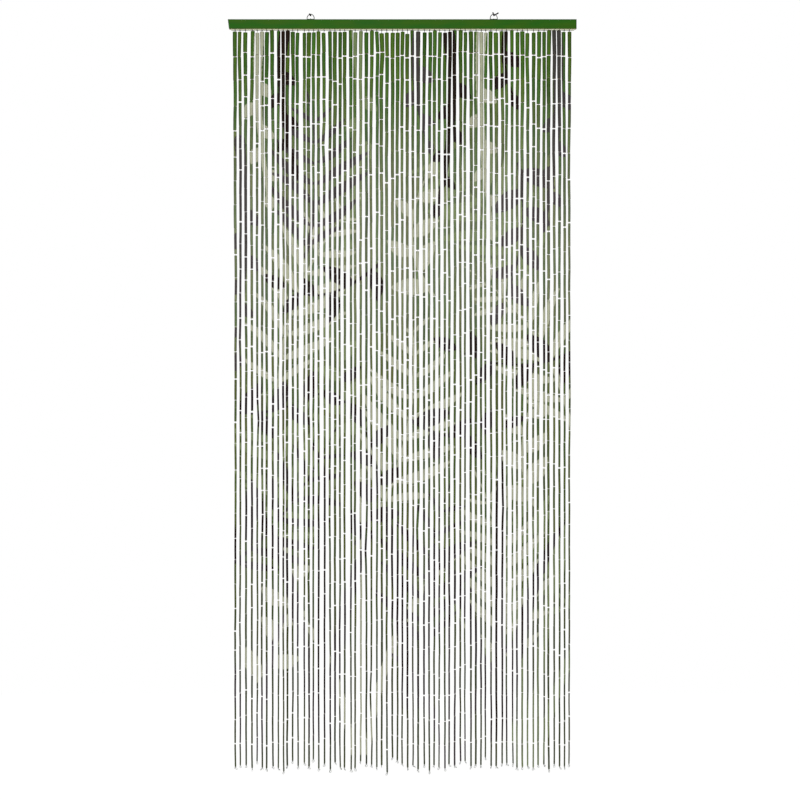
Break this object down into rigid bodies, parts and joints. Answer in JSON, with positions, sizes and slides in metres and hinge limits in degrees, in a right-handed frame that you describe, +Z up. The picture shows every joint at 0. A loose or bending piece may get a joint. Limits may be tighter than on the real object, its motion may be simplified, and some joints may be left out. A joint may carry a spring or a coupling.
{
  "type": "bamboo door curtain with hanging batten and hooks",
  "caption": "Doorway curtain of short painted bamboo tubes threaded on lines that hang side by side from a wooden batten with wire D-rings and screw hooks.",
  "frame": {"origin": "centre of the batten's back face, which lies against the wall or door frame", "axes": "+Z up, +X to the right seen from the front, the printed front faces -Y"},
  "size_m": [0.8999, 0.0302, 1.9771],
  "materials": {
    "green_paint": "satin green paint on wood",
    "painted_bamboo": "satin paint on split bamboo tubes, with bare cut ends",
    "bright_wire": "drawn steel wire",
    "black_wire": "black coated steel wire"
  },
  "bodies": {
    "root": {"batten": "green_paint", "strands": "painted_bamboo", "dring_left": "bright_wire", "dring_right": "bright_wire", "staple_left": "bright_wire", "staple_right": "bright_wire", "hook_left": "black_wire", "hook_right": "black_wire"}
  },
  "joints": []
}
